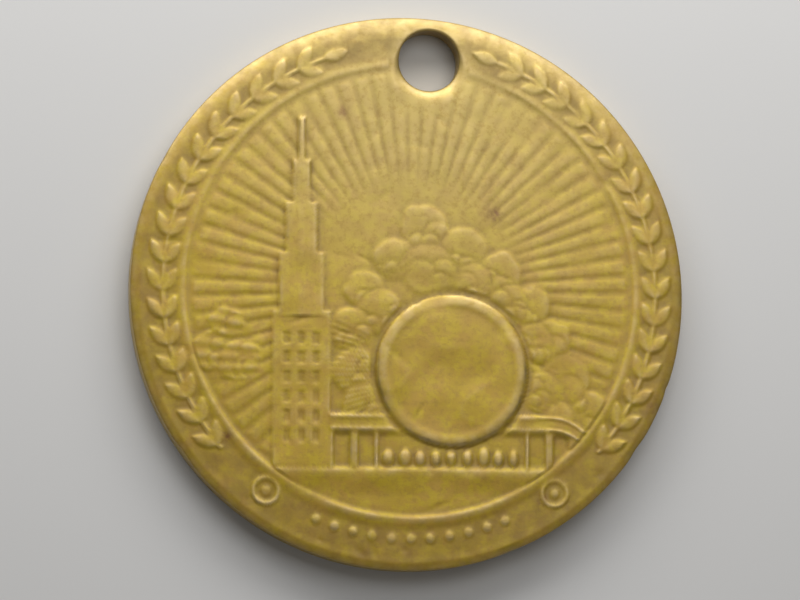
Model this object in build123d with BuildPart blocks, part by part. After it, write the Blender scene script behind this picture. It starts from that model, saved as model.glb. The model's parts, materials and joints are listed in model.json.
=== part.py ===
"""A struck brass fare token: a coin-like disc with an upset rim on both faces, a hole
near its edge for a ring or a chain, and low relief struck into each face.

It is one piece of metal, so it is one solid in one node. Millimetres. The origin is the
middle of the outline, in the plane of the reverse rim that the token lies on. +Z comes
out of the obverse, and +Y is the way up of both pictures.
"""

from build123d import *
import os
from math import cos, degrees, hypot, radians, sin

# ---- Blank ----
token_diameter = 28.6
token_thickness = 1.8  # over both rims
edge_round = 0.2  # between the edge of the token and the top of each rim
rim_width = 0.55
obverse_depth = 0.2  # from the rim down to the field
reverse_depth = 0.15

# ---- Hanging hole, punched a little to the right of the picture's upright ----
hole_diameter = 3.175
hole_wall = 0.6  # metal left between the hole and the edge of the token
hole_angle = 84.9  # degrees from +X
hole_rolled_edge = 0.26  # where the punch went in, on the obverse
hole_exit_edge = 0.1  # where it came out, on the reverse
hole_land = 0.5  # bare ring left around the hole

# ---- Strike: both dies met the blank a little off its middle ----
strike_centre = (0.1, 0.07)
strike_root = 0.05  # how far each raised piece reaches down into the field

# ---- Border line of the obverse ----
legend_width = 2.15  # from the rim to the middle of the line
border_width = 0.28
border_height = 0.1

# ---- Laurel branches in the band outside the border line ----
wreath_tip_angle = 21  # degrees from +Y to the tip of each branch
wreath_foot_angle = 130
wreath_pitch = 1.42  # along the stem, from one pair of leaves to the next
leaf_size = (1.32, 0.56)
leaf_splay = 33  # degrees between a leaf and its stem
leaf_height = 0.13
stem_width = 0.15
stem_height = 0.08

# ---- Annulets and pellets at the bottom of the band ----
annulet_angle = 35.7  # degrees from -Y
annulet_radius = 0.75
annulet_line = 0.2
pellet_radius = 0.24
pellet_pitch = 1.0
pellet_count = 11
mark_height = 0.08

# ---- Ground line ----
exergue_height = 2.47  # from the bottom of the border line up to the ground line
ground_width = 0.22
ground_height = 0.11

# ---- Sun, a plain disc with a raised edge ----
sun_radius = 3.9
sun_offset = 2.08  # to the right of the picture's upright
sun_lift = 1.05  # from the ground line to the foot of the sun
sun_edge_width = 0.45
sun_edge_height = 0.18
sun_face_height = 0.14
sun_draft = 30  # degrees, so that the die lets go

# ---- Rays ----
ray_pitch = 4.8  # degrees
ray_first_angle = -36  # degrees from +X
ray_count = 56
ray_share = 0.66  # of the pitch that each ray covers
ray_inner_radius = 5.2
ray_outer_gap = 0.45  # between the rays and the border line
ray_height = 0.07

# ---- Clouds, as round puffs ----
cloud_height = 0.09
sun_puffs = [  # (x, y, radius) from the middle of the sun
    (-5.0, -0.1, 1.3),
    (-5.2, 2.1, 1.2),
    (-4.5, 4.1, 1.1),
    (-3.0, 5.7, 1.15),
    (-1.4, 7.3, 1.35),
    (-1.2, 5.2, 1.5),
    (0.6, 6.2, 1.35),
    (2.5, 5.0, 1.25),
    (4.1, 3.4, 1.15),
    (5.1, 1.6, 1.2),
    (5.9, -0.4, 1.45),
    (7.1, -2.0, 1.2),
    (-4.6, -1.7, 1.1),
    (-3.7, 3.0, 1.3),
    (1.1, 4.6, 1.1),
    (3.0, 3.5, 1.1),
    (4.3, 1.5, 1.1),
    (4.7, -1.0, 1.1),
    (5.5, -2.4, 1.0),
]
border_puffs = [  # (inwards from the border line, above the ground line, radius)
    (2.1, 7.3, 0.95),
    (1.2, 5.8, 1.1),
    (2.8, 5.4, 1.2),
]

# ---- Stepped tower with a mast ----
tower_middle = -5.65
tower_tiers = [  # (width, height above the ground line)
    (3.0, 8.0),
    (2.3, 11.0),
    (1.6, 13.6),
    (0.9, 15.8),
    (0.3, 18.0),
]
tower_height = 0.15
window_size = (0.3, 0.55)
window_pitch = (0.75, 1.0)
window_columns = 3
window_rows = 6
window_sill = 1.3  # from the ground line up to the lowest windows
window_depth = 0.05

# ---- Viaduct behind the tower and the sun: one wide opening, and round arches beside it ----
viaduct_rise = 2.75  # from the ground line to the top of the deck
viaduct_height = 0.12
opening_width = 7.6
arch_count = 2  # on each side of the opening
arch_pitch = 1.25
arch_width = 0.85
arch_crown = 0.75  # wall over the opening and over each arch
rail_drop = 0.62  # from the rail along the deck to the one below it
rail_width = 0.18
rail_height = 0.15

# ---- Bushes under the sun ----
bush_count = 9
bush_pitch = 0.82
bush_size = (0.52, 1.0)
bush_height = 0.14

# ---- Reverse: a border line and a larger wreath around a bare field ----
back_border_inset = 0.75  # from the rim to the middle of the line
back_border_width = 0.3
back_border_height = 0.08
back_wreath_inset = 3.3
back_tip_angle = 36
back_foot_angle = 177
back_wreath_pitch = 2.0
back_leaf_size = (2.2, 0.92)
back_leaf_splay = 32
back_leaf_height = 0.11
back_stem_width = 0.24
back_stem_height = 0.08
knot_radius = 0.62
knot_height = 0.12

# ---- Worked out from the sizes above ----
token_radius = token_diameter / 2
rim_radius = token_radius - rim_width
obverse_field = token_thickness - obverse_depth
border_radius = rim_radius - legend_width
strike_drift = hypot(*strike_centre)
band_inner_radius = border_radius + border_width / 2
wreath_radius = (band_inner_radius + rim_radius - strike_drift) / 2  # mid-band where it is narrowest
ground_y = exergue_height - border_radius
sun_centre = (sun_offset, ground_y + sun_lift + sun_radius)
back_border_radius = rim_radius - back_border_inset
back_wreath_radius = rim_radius - back_wreath_inset
hole_radius = hole_diameter / 2
hole_reach = token_radius - hole_wall - hole_radius
hole_centre = (hole_reach * cos(radians(hole_angle)), hole_reach * sin(radians(hole_angle)))
hole_on_die = (hole_centre[0] - strike_centre[0], hole_centre[1] - strike_centre[1])
obverse_die = Plane((*strike_centre, obverse_field - strike_root))
reverse_die = Plane(
    (*strike_centre, reverse_depth + strike_root), x_dir=(-1, 0, 0), z_dir=(0, 0, -1)
)


def polar(radius, angle):
    """A point at a distance and an angle from the middle of the picture."""
    return (radius * cos(radians(angle)), radius * sin(radians(angle)))


def leaf(foot, size, turn):
    """A pointed oval leaf that grows from its foot, made of two arcs."""
    length, width = size
    along = polar(length, turn)
    across = polar(width / 2, turn + 90)
    tip = (foot[0] + along[0], foot[1] + along[1])
    middle = (foot[0] + along[0] / 2, foot[1] + along[1] / 2)
    with BuildLine(mode=Mode.PRIVATE) as outline:
        ThreePointArc(foot, (middle[0] + across[0], middle[1] + across[1]), tip)
        ThreePointArc(tip, (middle[0] - across[0], middle[1] - across[1]), foot)
    make_face(outline.edges())


def leaves(radius, tip_angle, foot_angle, pitch, size, splay):
    """A leaf at the tip of each branch, and pairs of leaves down to its foot."""
    step = degrees(pitch / radius)
    pairs = int((foot_angle - tip_angle) / step)
    for side in (-1, 1):
        for pair in range(pairs + 1):
            angle = 90 + side * (tip_angle + pair * step)
            up_the_stem = angle - side * 90
            turns = [splay, -splay] if pair else [0]
            for turn in turns:
                leaf(polar(radius, angle), size, up_the_stem + turn)


def stems(radius, tip_angle, foot_angle, width):
    """The two arcs that carry the leaves."""
    for side in (-1, 1):
        with BuildLine(mode=Mode.PRIVATE):
            arc = CenterArc((0, 0), radius, 90 + side * tip_angle, side * (foot_angle - tip_angle))
        SlotArc(arc, width)


def ring(radius, width):
    """A line of this width around the middle of the picture."""
    Circle(radius + width / 2)
    Circle(radius - width / 2, mode=Mode.SUBTRACT)


def standing(middle, width, height, mode=Mode.ADD):
    """A rectangle on the ground line."""
    with Locations((middle, ground_y + height / 2)):
        Rectangle(width, height, mode=mode)


def level(start, lift, width):
    """A level line at a height above the ground line, from a place on it to the right."""
    with Locations((start, ground_y + lift)):
        Rectangle(2 * border_radius, width, align=(Align.MIN, Align.CENTER))


def inside_border():
    """Keeps what lies inside the border line, which it runs into."""
    Circle(border_radius, mode=Mode.INTERSECT)


def clear_of_hole(side):
    """Leaves the bare ring around the hanging hole. side is -1 on the mirrored reverse."""
    with Locations((side * hole_on_die[0], hole_on_die[1])):
        Circle(hole_radius + hole_land, mode=Mode.SUBTRACT)


os.makedirs("parts", exist_ok=True)

# What the hole takes away: a straight bore, with a flare at each field where the metal
# rolled over. The flares stop at the foot of the rims.
with BuildPart() as punch:
    with BuildSketch(Plane((*hole_centre, 0), x_dir=(1, 0, 0), z_dir=(0, -1, 0))):
        Polygon(
            (0, 0),
            (hole_radius + hole_exit_edge, 0),
            (hole_radius + hole_exit_edge, reverse_depth),
            (hole_radius, reverse_depth + hole_exit_edge),
            (hole_radius, obverse_field - hole_rolled_edge),
            (hole_radius + hole_rolled_edge, obverse_field),
            (hole_radius + hole_rolled_edge, token_thickness),
            (0, token_thickness),
            align=None,
        )
    revolve(axis=Axis((*hole_centre, 0), (0, 0, 1)))
    with BuildSketch(Plane.XY):
        Circle(rim_radius)
    extrude(amount=token_thickness, mode=Mode.INTERSECT)
    with BuildSketch(Plane.XY):
        with Locations(hole_centre):
            Circle(hole_radius)
    extrude(amount=token_thickness)

with BuildPart() as token:
    # Blank, with both fields below their rims.
    with BuildSketch(Plane.XY):
        Circle(token_radius)
    extrude(amount=token_thickness)
    fillet(token.edges().filter_by(GeomType.CIRCLE), edge_round)
    with BuildSketch(Plane.XY.offset(obverse_field)):
        Circle(rim_radius)
    extrude(amount=obverse_depth, mode=Mode.SUBTRACT)
    with BuildSketch(Plane.XY):
        Circle(rim_radius)
    extrude(amount=reverse_depth, mode=Mode.SUBTRACT)

    # Rays, the lowest layer of the picture. Each is a rib that widens outwards.
    with BuildSketch(obverse_die):
        ray_outer_radius = border_radius - border_width / 2 - ray_outer_gap
        ray_slope = radians(ray_pitch * ray_share) / 2
        with PolarLocations(0, ray_count, ray_first_angle, ray_count * ray_pitch):
            Polygon(
                (ray_inner_radius, -ray_inner_radius * ray_slope),
                (ray_outer_radius, -ray_outer_radius * ray_slope),
                (ray_outer_radius, ray_outer_radius * ray_slope),
                (ray_inner_radius, ray_inner_radius * ray_slope),
                align=None,
            )
        clear_of_hole(1)
    extrude(amount=ray_height + strike_root)

    # Clouds.
    with BuildSketch(obverse_die):
        for x, y, radius in sun_puffs:
            with Locations((sun_centre[0] + x, sun_centre[1] + y)):
                Circle(radius)
        for inset, lift, radius in border_puffs:
            with Locations((inset - border_radius, ground_y + lift)):
                Circle(radius)
        inside_border()
    extrude(amount=cloud_height + strike_root)

    # Viaduct from the tower to the right, and the two rails along its deck.
    with BuildSketch(obverse_die):
        wall_width = border_radius - tower_middle
        standing(tower_middle + wall_width / 2, wall_width, viaduct_rise)
        standing(sun_offset, opening_width, viaduct_rise - arch_crown, Mode.SUBTRACT)
        for side in (-1, 1):
            for arch in range(arch_count):
                middle = sun_offset + side * (opening_width / 2 + (arch + 0.5) * arch_pitch)
                arch_foot = viaduct_rise - arch_crown - arch_width / 2
                standing(middle, arch_width, arch_foot, Mode.SUBTRACT)
                with Locations((middle, ground_y + arch_foot)):
                    Circle(arch_width / 2, mode=Mode.SUBTRACT)
        inside_border()
    extrude(amount=viaduct_height + strike_root)
    with BuildSketch(obverse_die):
        level(tower_middle, viaduct_rise, rail_width)
        level(tower_middle, viaduct_rise - rail_drop, rail_width)
        inside_border()
    extrude(amount=rail_height + strike_root)

    # Stepped tower and its windows.
    with BuildSketch(obverse_die):
        for width, height in tower_tiers:
            standing(tower_middle, width, height)
        inside_border()
    extrude(amount=tower_height + strike_root)
    with BuildSketch(obverse_die.offset(strike_root + tower_height - window_depth)):
        window_rise = window_sill + (window_size[1] + (window_rows - 1) * window_pitch[1]) / 2
        with Locations((tower_middle, ground_y + window_rise)):
            with GridLocations(*window_pitch, window_columns, window_rows):
                Rectangle(*window_size)
    extrude(amount=window_depth, mode=Mode.SUBTRACT)

    # Bushes and ground line.
    with BuildSketch(obverse_die):
        with Locations((sun_offset, ground_y + bush_size[1] / 2)):
            with GridLocations(bush_pitch, 1, bush_count, 1):
                Ellipse(bush_size[0] / 2, bush_size[1] / 2)
    extrude(amount=bush_height + strike_root)
    with BuildSketch(obverse_die):
        level(-border_radius, 0, ground_width)
        inside_border()
    extrude(amount=ground_height + strike_root)

    # Sun, sunk inside its raised edge.
    with BuildSketch(obverse_die):
        with Locations(sun_centre):
            Circle(sun_radius)
    extrude(amount=sun_edge_height + strike_root, taper=sun_draft)
    with BuildSketch(obverse_die.offset(strike_root + sun_face_height)):
        with Locations(sun_centre):
            Circle(sun_radius - sun_edge_width)
    extrude(amount=sun_edge_height - sun_face_height, mode=Mode.SUBTRACT)

    # Border line, laurel branches, annulets and pellets.
    with BuildSketch(obverse_die):
        ring(border_radius, border_width)
        clear_of_hole(1)
    extrude(amount=border_height + strike_root)
    with BuildSketch(obverse_die):
        leaves(
            wreath_radius, wreath_tip_angle, wreath_foot_angle,
            wreath_pitch, leaf_size, leaf_splay,
        )
    extrude(amount=leaf_height + strike_root)
    with BuildSketch(obverse_die):
        stems(wreath_radius, wreath_tip_angle, wreath_foot_angle, stem_width)
    extrude(amount=stem_height + strike_root)
    with BuildSketch(obverse_die):
        for side in (-1, 1):
            with Locations(polar(wreath_radius, -90 + side * annulet_angle)):
                Circle(annulet_radius)
                Circle(annulet_radius - annulet_line, mode=Mode.SUBTRACT)
                Circle(pellet_radius)
        pellet_step = degrees(pellet_pitch / wreath_radius)
        pellet_start = -90 - (pellet_count - 1) * pellet_step / 2
        with PolarLocations(wreath_radius, pellet_count, pellet_start, pellet_count * pellet_step):
            Circle(pellet_radius)
    extrude(amount=mark_height + strike_root)

    # Reverse: border line, wreath and the knot that ties it.
    with BuildSketch(reverse_die):
        ring(back_border_radius, back_border_width)
        clear_of_hole(-1)
    extrude(amount=back_border_height + strike_root)
    with BuildSketch(reverse_die):
        leaves(
            back_wreath_radius, back_tip_angle, back_foot_angle,
            back_wreath_pitch, back_leaf_size, back_leaf_splay,
        )
    extrude(amount=back_leaf_height + strike_root)
    with BuildSketch(reverse_die):
        stems(back_wreath_radius, back_tip_angle, back_foot_angle, back_stem_width)
    extrude(amount=back_stem_height + strike_root)
    with BuildSketch(reverse_die):
        with Locations(polar(back_wreath_radius, -90)):
            Circle(knot_radius)
    extrude(amount=knot_height + strike_root)

    # The hole is punched last, through everything.
    add(punch.part, mode=Mode.SUBTRACT)

token.part.label = "token"
export_step(token.part, "parts/token.step")
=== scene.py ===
# A worn brass fare token, struck with low relief on both faces, lying on a pale table.
import json
import bpy
import numpy as np
from mathutils import Matrix, Vector


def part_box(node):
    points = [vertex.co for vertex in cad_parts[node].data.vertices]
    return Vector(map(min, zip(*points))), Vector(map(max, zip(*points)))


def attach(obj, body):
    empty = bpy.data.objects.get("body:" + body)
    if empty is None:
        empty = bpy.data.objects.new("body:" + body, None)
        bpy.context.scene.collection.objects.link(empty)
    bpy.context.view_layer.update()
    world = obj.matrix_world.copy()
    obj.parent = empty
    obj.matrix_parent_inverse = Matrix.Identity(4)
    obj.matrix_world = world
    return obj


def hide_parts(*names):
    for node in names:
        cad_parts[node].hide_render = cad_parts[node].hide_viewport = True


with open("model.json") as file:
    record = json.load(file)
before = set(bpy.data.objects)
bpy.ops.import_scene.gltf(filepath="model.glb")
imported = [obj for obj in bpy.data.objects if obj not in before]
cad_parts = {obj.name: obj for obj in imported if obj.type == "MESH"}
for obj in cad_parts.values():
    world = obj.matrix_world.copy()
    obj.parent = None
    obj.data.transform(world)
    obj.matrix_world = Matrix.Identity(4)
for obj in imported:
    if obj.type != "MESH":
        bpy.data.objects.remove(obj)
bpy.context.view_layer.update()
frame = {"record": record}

mm = 0.001  # everything below is in millimetres until it goes into a mesh

tokenLow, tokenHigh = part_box("token")
holeMount = next(m for m in frame["record"]["mounts"] if m["name"] == "hanging_hole")

blank = {
    "radius": max(tokenHigh.x - tokenLow.x, tokenHigh.y - tokenLow.y) / 2 / mm,
    "thickness": (tokenHigh.z - tokenLow.z) / mm,
    "rimWidth": 0.55,
    "lastRings": 0.28,  # the strip along the edge that the last few rings of the mesh share
    "obverseRound": (1.15, 0.34),  # width and depth of the worn shoulder between face and edge
    "obverseLeast": (0.4, 0.09),  # the same on the side that is worn least
    "wornSide": 80.0,  # degrees from +X, the side that is worn most, where the hole is
    "flank": 0.6,  # share of the shoulder that slopes evenly; the rest of it is a quarter ellipse
    "reverseRound": (0.3, 0.24),
    "rimStart": 0.02,  # where the soft step from the field up to the rim is half done
    "rimSlope": 0.45,  # width of that step
    "obverseRim": 0.01,  # from the field up to the rim, which wear has all but levelled
    "obverseField": 0.134,  # from the field up to the highest relief
    "reverseDepth": 0.13,
}
hole = {
    "x": holeMount["pos_m"][0] / mm,
    "y": holeMount["pos_m"][1] / mm,
    "radius": holeMount["dims"]["r_mm"],
    "rolledEdge": 0.44,  # width of the round where the punch went in, towards the field
    "rimSideEdge": 0.1,  # the same where it meets the rim
    "rolledFade": (0.42, 0.6),  # where on its way around, as a share, it has half narrowed, and how softly
    "exitEdge": 0.12,  # where the punch came out
    "rolledShare": 0.5,  # depth of a round, as a share of its width
    "bevel": 0.5,  # how straight a round is: 0 is a quarter of an ellipse, 1 a cone
    "dish": (0.9, 0.065),  # width and depth of the dip that the punch pulled in around it
    "rubbedAndHighlit": 0.75,  # width of the strip around it that is painted bright, a painted highlight on the lip
    "upperLevels": (1.1, 0.85),  # heights of the loops of points on its wall
    "lowerLevel": 0.55,
    "land": 0.5,  # bare ring around the hole
    "landSoftness": 0.25,
    "paintedSheenFalloff": (9.0, 17.0),  # where the painted sheen around it, paler metal on the top of the token where the lamps fall, has half faded, and over what width
}
strike = {
    "x": 0.1,  # the dies met the blank a little off its middle
    "y": 0.07,
    "softness": 0.2,  # width of a worn edge of the relief
    "wornLevel": 0.1,  # relief above this height has been rubbed down
    "wornShare": 0.25,
    "bandDirt": 0.72,  # what has settled between the marks of the band, as a share of a deep hollow
    "bandStart": (0.3, 0.6),  # how far outside the border that starts, and over what width
    "bandLevel": (0.02, 0.03),  # relief that stands clear of it: height and softness
    "unevenness": 0.16,  # how much the wear differs from place to place
    "leftOver": (0.6, 1.1),  # least and most of the relief that it leaves, as shares
    "rayUnevenness": 0.32,  # the same for the rays, which are the lowest relief
    "raysLeftOver": (0.3, 1.3),
    "waves": 26,  # long uneven ripples of an old struck face
    "waveLength": (1.5, 7.0),
    "waveHeight": 0.0035,
    "waveSink": 2.2,  # how many wave heights a face sinks, so that no ripple stands proud
    "dents": 60,
    "dentSize": (0.1, 0.24),
    "dentDepth": (0.006, 0.02),
    "dentStretch": (1.0, 1.0, 2.5, 4.5),  # length over width, picked by chance
    "seed": 11,  # the next four are for its dents, the reverse's ripples and dents, and uneven wear
}
rimInner = blank["radius"] - blank["rimWidth"]
holeTurn = np.arctan2(hole["y"], hole["x"])


# Shape of the relief

def rise(distance, softness=strike["softness"]):
    # 0 outside an outline, 1 inside: 3t^2 - 2t^3, where t runs from 0 to 1 as the distance inwards
    # from the outline goes from minus half the softness to plus half of it
    t = np.clip(distance / softness + 0.5, 0.0, 1.0)
    return t * t * (3.0 - 2.0 * t)


def over(below, cover, height):
    # one layer in front of what is struck already: below outside its cover, its own height inside
    return below * (1.0 - cover) + height * cover


def insideBox(x, y, middle, foot, width, height):
    # distance inwards from the nearest side of a rectangle that stands on its foot
    return np.minimum(width / 2 - np.abs(x - middle), height / 2 - np.abs(y - foot - height / 2))


def insideDisc(x, y, cx, cy, radius):
    # radius less the distance from the middle
    return radius - np.hypot(x - cx, y - cy)


def roundLine(distance, width, height):
    # half an ellipse across a line: height times the root of 1 less the squared share of the half width
    return height * np.sqrt(np.clip(1.0 - (distance / (width / 2)) ** 2, 0.0, 1.0))


def wornLine(distance, steep, gentle):
    # a line rubbed down on one side: up within the steep width, then down within the gentle one
    return rise(distance, steep) * (1.0 - rise(distance - steep / 2 - gentle / 2, gentle))


border = {
    "inset": 2.15,  # from the inner side of the rim to its crest
    "inside": 0.3,  # width of its steep inner side
    "outside": 0.6,  # width of its gentle outer side
    "height": 0.032,
    "footHeight": 0.052,
}
borderRadius = rimInner - border["inset"]


def borderRelief(x, y):
    # a worn line at the border's radius, steep on its inner side; it is higher towards its foot
    low = 0.5 - 0.5 * y / borderRadius
    height = border["height"] + (border["footHeight"] - border["height"]) * low ** 2
    return height * wornLine(np.hypot(x, y) - borderRadius, border["inside"], border["outside"])


ground = {
    "exergue": 2.47,  # height of the plain panel under it, from the crest of the border
    "above": 0.32,  # width of its steep upper side
    "below": 1.3,  # width of its gentle lower side
    "height": 0.06,
}
groundY = ground["exergue"] - borderRadius


def groundRelief(x, y, below):
    # a worn level line across the field, gentle on its lower side
    return np.maximum(below, ground["height"] * wornLine(groundY - y, ground["above"], ground["below"]))


rays = {
    "pitch": 4.8,  # degrees
    "first": -36.0,
    "count": 56,
    "share": 0.8,  # width of a ray, as a share of the pitch
    "innerRadius": 4.6,
    "innerFade": 3.0,  # over what width a ray swells
    "outerGap": 0.22,
    "outerFade": 0.3,
    "height": 0.019,
}


def rayRelief(x, y):
    # each ray is a rounded rib: its height is 1 less the cubed share of its half angle, and it
    # swells from the inner radius outwards
    radius = np.hypot(x, y)
    turn = (np.degrees(np.arctan2(y, x)) - rays["first"]) % 360.0
    nearest = np.clip(np.round(turn / rays["pitch"]), 0, rays["count"] - 1)
    away = np.minimum(np.abs(turn - nearest * rays["pitch"]), np.abs(turn - 360.0))
    across = np.clip(away / (rays["pitch"] * rays["share"] / 2), 0.0, 1.0)
    outer = borderRadius - border["inside"] / 2 - rays["outerGap"]
    swell = rise(radius - rays["innerRadius"] - rays["innerFade"] / 2, rays["innerFade"])
    ends = swell * rise(outer - radius, rays["outerFade"])
    return rays["height"] * (1.0 - across ** 3) * ends


sun = {
    "x": 2.12,
    "radius": 3.95,
    "lift": 1.06,
    "edgeWidth": 0.5,  # from the outline to the top of its rounded edge
    "edgeHeight": 0.13,
    "faceHeight": 0.104,
    "faceStep": (0.14, 0.34),  # how far inside the edge it sinks to the face, and over what width
    "moat": 0.3,  # width of the ground that is pressed down around it
    "moatShare": 0.8,  # how much of the relief there is pressed away
    "outline": (0.02, 0.12),  # how far inside its outline it stands up, and over what width
}
sunY = groundY + sun["lift"] + sun["radius"]


def sunRelief(x, y, below):
    # a flat disc with a rounded edge, a quarter of an ellipse, from which it sinks softly to its
    # face, and around it a bell-shaped moat that takes away most of what lies below
    inwards = insideDisc(x, y, sun["x"], sunY, sun["radius"])
    moat = np.exp(-((inwards + sun["moat"] / 2) / (sun["moat"] / 2)) ** 2)
    share = np.clip(inwards / sun["edgeWidth"], 0.0, 1.0)
    edge = sun["edgeHeight"] * np.sqrt(1.0 - (1.0 - share) ** 2)
    inset, softness = sun["faceStep"]
    sink = (sun["edgeHeight"] - sun["faceHeight"]) * rise(inwards - sun["edgeWidth"] - inset, softness)
    start, width = sun["outline"]
    return over(below * (1.0 - sun["moatShare"] * moat), rise(inwards - start, width), edge - sink)


clouds = {
    "height": 0.068,
    "softness": 0.36,
    "foot": 0.4,  # share of the height that is left where a puff sinks behind the next
    "tilt": (0.62, 0.5),  # height of a puff's middle and how it grows outwards, as shares
    "backFade": (0.35, 0.8),  # how far towards the foot a puff covers the one behind, and how softly
    "lobes": (4, 7),  # least and most smaller puffs around each large one
    "lobeSize": (0.3, 0.55),  # as shares of the large one
    "lobeReach": (0.85, 1.04),  # how far out a smaller puff comes, as a share of the large one
    "lobeSway": 0.35,  # how far it may stand from its even place, as a share of the step
    "core": 0.9,  # radius of the large puff itself, as a share
    "streaks": 62,  # fine lines in a full turn around the sun
    "streakDepth": 0.014,
    "streakFrom": 158.0,  # degrees from +X around the sun
    "streakTo": 232.0,
    "streakFade": 12.0,
    "seed": 5,
    "aroundSun": [  # x, y and radius of each puff, from the middle of the sun
        (-5.0, -0.1, 1.3), (-5.2, 2.1, 1.2), (-4.5, 4.1, 1.1), (-3.0, 5.7, 1.15),
        (-1.4, 7.3, 1.35), (-1.2, 5.2, 1.5), (0.6, 6.2, 1.35), (2.5, 5.0, 1.25),
        (4.1, 3.4, 1.15), (5.1, 1.6, 1.2), (5.9, -0.4, 1.45), (7.1, -2.0, 1.2),
        (-4.6, -1.7, 1.1), (-3.7, 3.0, 1.3), (1.1, 4.6, 1.1), (3.0, 3.5, 1.1),
        (4.3, 1.5, 1.1), (4.7, -1.0, 1.1), (5.5, -2.4, 1.0),
    ],
    "byBorder": [(2.1, 7.3, 0.95), (1.2, 5.8, 1.1), (2.8, 5.4, 1.2)],  # inwards, up, radius
}


def cloudPuffs():
    # every puff as x, y and radius, the ones farthest from the foot of the picture first: each large
    # one, and smaller ones around it whose turns and sizes vary by chance
    chance = np.random.default_rng(clouds["seed"])
    large = [(sun["x"] + px, sunY + py, r) for px, py, r in clouds["aroundSun"]]
    large += [(px - borderRadius, groundY + py, r) for px, py, r in clouds["byBorder"]]
    puffs = []
    for px, py, r in large:
        puffs.append((px, py, clouds["core"] * r))
        start = chance.uniform(0.0, 2 * np.pi)
        lobes = chance.integers(*clouds["lobes"], endpoint=True)
        for lobe in range(lobes):
            sway = chance.uniform(-clouds["lobeSway"], clouds["lobeSway"])
            turn = start + (lobe + sway) * 2 * np.pi / lobes
            size = r * chance.uniform(*clouds["lobeSize"])
            reach = r * chance.uniform(*clouds["lobeReach"]) - size
            puffs.append((px + reach * np.cos(turn), py + reach * np.sin(turn), size))
    return sorted(puffs, key=lambda puff: -np.hypot(puff[0], puff[1] - groundY))


def cloudRelief(x, y, below):
    # each puff lies over the ones behind it: it is a dome, the root of 1 less the squared share of
    # its radius, that stands full on its outer side and sinks towards the foot of the picture
    height, cover = below.copy(), np.zeros_like(x)
    middle, growth = clouds["tilt"]
    behind, fade = clouds["backFade"]
    for px, py, r in cloudPuffs():
        inwards = insideDisc(x, y, px, py, r)
        near = inwards > -clouds["softness"] / 2
        inside = inwards[near]
        far = np.hypot(px, py - groundY)
        outwards = ((x[near] - px) * px + (y[near] - py) * (py - groundY)) / (far * r)
        dome = np.sqrt(np.clip(1.0 - (1.0 - np.maximum(inside, 0.0) / r) ** 2, 0.0, 1.0))
        full = clouds["foot"] + (1.0 - clouds["foot"]) * np.clip(middle + growth * outwards, 0.0, 1.0) * dome
        soft = rise(inside, clouds["softness"])
        share = soft * np.where(cover[near] > 0.5, rise(outwards + behind, fade), 1.0)
        height[near] = over(height[near], share, clouds["height"] * full)
        cover[near] = np.maximum(cover[near], soft)
    # fine lines that fan out from the sun on the clouds beside it: a squared sine of the turn
    turn = np.degrees(np.arctan2(y - sunY, x - sun["x"])) % 360.0
    fade = clouds["streakFade"]
    fan = rise(turn - clouds["streakFrom"], fade) * rise(clouds["streakTo"] - turn, fade)
    lines = np.sin(np.radians(turn) * clouds["streaks"]) ** 2 * fan * cover
    return height - clouds["streakDepth"] * lines


tower = {
    "middle": -5.65,
    "tiers": [(3.0, 8.0), (2.3, 11.0), (1.6, 13.6), (0.9, 15.8), (0.34, 18.0)],  # width, height
    "height": (0.044, 0.078),  # of the widest tier and of the mast
    "lap": 0.3,  # how far the tier above reaches down in front of the widest one
    "windowSize": (0.34, 0.58),
    "windowPitch": (0.75, 1.0),
    "windowColumns": 3,
    "windowRows": 6,
    "windowSill": 1.3,
    "windowDepth": 0.024,
    "windowSoftness": 0.14,
}


def towerRelief(x, y, below):
    # boxes on one foot, each narrower one taller and a little in front, and windows on a grid, each
    # a box sunk into the front
    fronts = np.linspace(*tower["height"], len(tower["tiers"]))
    pitchX, pitchY = tower["windowPitch"]
    column = (x - tower["middle"]) / pitchX + (tower["windowColumns"] - 1) / 2
    row = (y - groundY - tower["windowSill"] - tower["windowSize"][1] / 2) / pitchY
    nearColumn = np.clip(np.round(column), 0, tower["windowColumns"] - 1)
    nearRow = np.clip(np.round(row), 0, tower["windowRows"] - 1)
    window = rise(np.minimum(
        tower["windowSize"][0] / 2 - np.abs(column - nearColumn) * pitchX,
        tower["windowSize"][1] / 2 - np.abs(row - nearRow) * pitchY,
    ), tower["windowSoftness"])
    height = below
    for (width, tall), front in zip(tower["tiers"], fronts):
        above = y > groundY + tower["tiers"][0][1] - tower["lap"]  # only the widest shows at the foot
        face = front if width == tower["tiers"][0][0] else np.where(above, front, fronts[0])
        height = over(height, rise(insideBox(x, y, tower["middle"], groundY, width, tall)), face)
    return height - tower["windowDepth"] * window


viaduct = {
    "rise": 2.75,  # from the ground line to the deck
    "height": 0.055,
    "openingWidth": 7.6,
    "archCount": 2,  # on each side of the opening
    "archPitch": 1.25,
    "archWidth": 0.85,
    "crown": 0.75,  # of wall above the arches
    "railDrop": 0.62,  # from the upper rail to the lower one
    "railAbove": 0.22,  # width of a rail's upper side
    "railBelow": 0.4,
    "railHeight": 0.08,
    "bendFrom": 7.3,  # x where the deck starts to bend down on its right, and how fast it does
    "bend": 0.25,
}


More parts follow.
